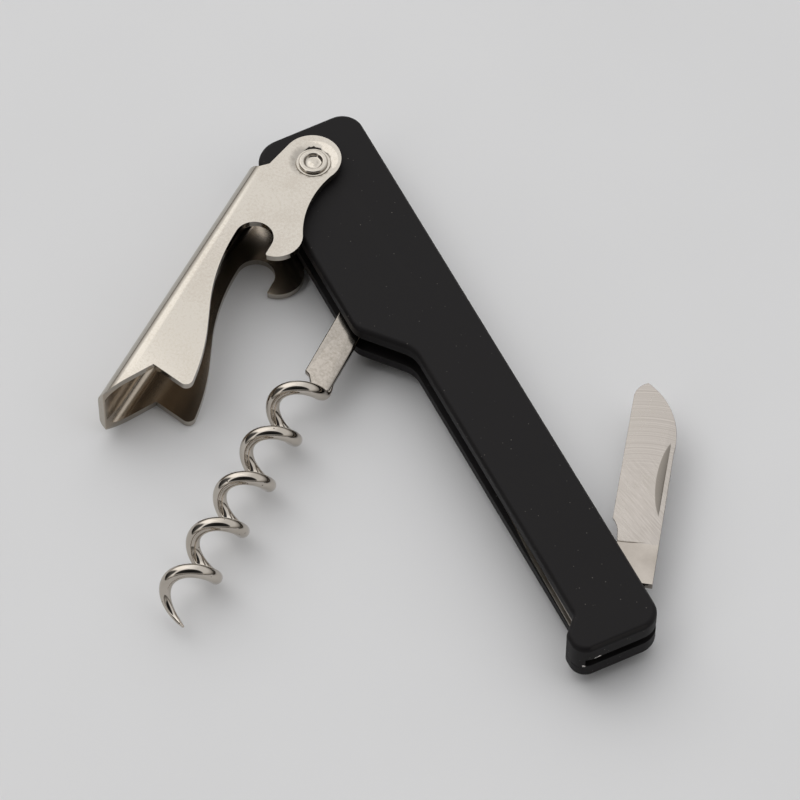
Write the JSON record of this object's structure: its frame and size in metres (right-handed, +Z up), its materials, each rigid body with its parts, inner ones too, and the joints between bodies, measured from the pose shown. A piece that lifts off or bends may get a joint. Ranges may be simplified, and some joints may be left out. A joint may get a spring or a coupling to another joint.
{
  "type": "lever corkscrew",
  "caption": "Folding lever corkscrew: a black handle carrying a hinged metal lever with bottle rest and cap hook, a wire worm and a small sheepsfoot knife.",
  "frame": {"origin": "centre of the footprint of the unfolded tool, on the plane the lever's lower ear lies on", "axes": "+X along the handle from the lever's hinge towards the foot, +Y towards the knife's side, +Z up through the layers; every hinge turns about Z"},
  "size_m": [0.1152, 0.0905, 0.012],
  "materials": {
    "black_plastic": "matte moulded black with a fine sparkle of dust and rubbed edges",
    "nickel_plate": "polished nickel plate over pressed steel, faintly handled",
    "blade_steel": "ground stainless steel with fine slanting grinding lines",
    "steel": "plain rolled steel sheet and bar"
  },
  "bodies": {
    "handle": {"scale_top": "black_plastic", "scale_bottom": "black_plastic", "liner_top": "steel", "liner_bottom": "steel", "back_spring": "steel", "spring_pins": "steel", "worm_pin": "steel", "knife_pin": "steel", "worm_washer_top": "steel", "worm_washer_bottom": "steel", "knife_washer_top": "steel", "knife_washer_bottom": "steel", "lever_washer_top": "steel", "lever_washer_bottom": "steel", "lever_bush": "steel"},
    "lever": {"lever": "nickel_plate", "lever_rivet": "nickel_plate"},
    "worm": {"worm": "nickel_plate"},
    "knife": {"knife": "blade_steel"}
  },
  "joints": [
    {"name": "lever_hinge", "type": "hinge", "parent": "handle", "child": "lever", "pos_m": [-0.04883, 0.01264, 0.006], "axis": [0, 0, 1], "range_deg": [-85, 50.2]},
    {"name": "worm_hinge", "type": "hinge", "parent": "handle", "child": "worm", "pos_m": [-0.02133, 0.00834, 0.006], "axis": [0, 0, 1], "range_deg": [-85, 50.2]},
    {"name": "knife_hinge", "type": "hinge", "parent": "handle", "child": "knife", "pos_m": [0.04657, 0.02064, 0.006], "axis": [0, 0, 1], "range_deg": [-144.6, 35.4]}
  ],
  "couplings": [
    {"joint": "worm_hinge", "follows": "lever_hinge", "ratio": 1}
  ]
}
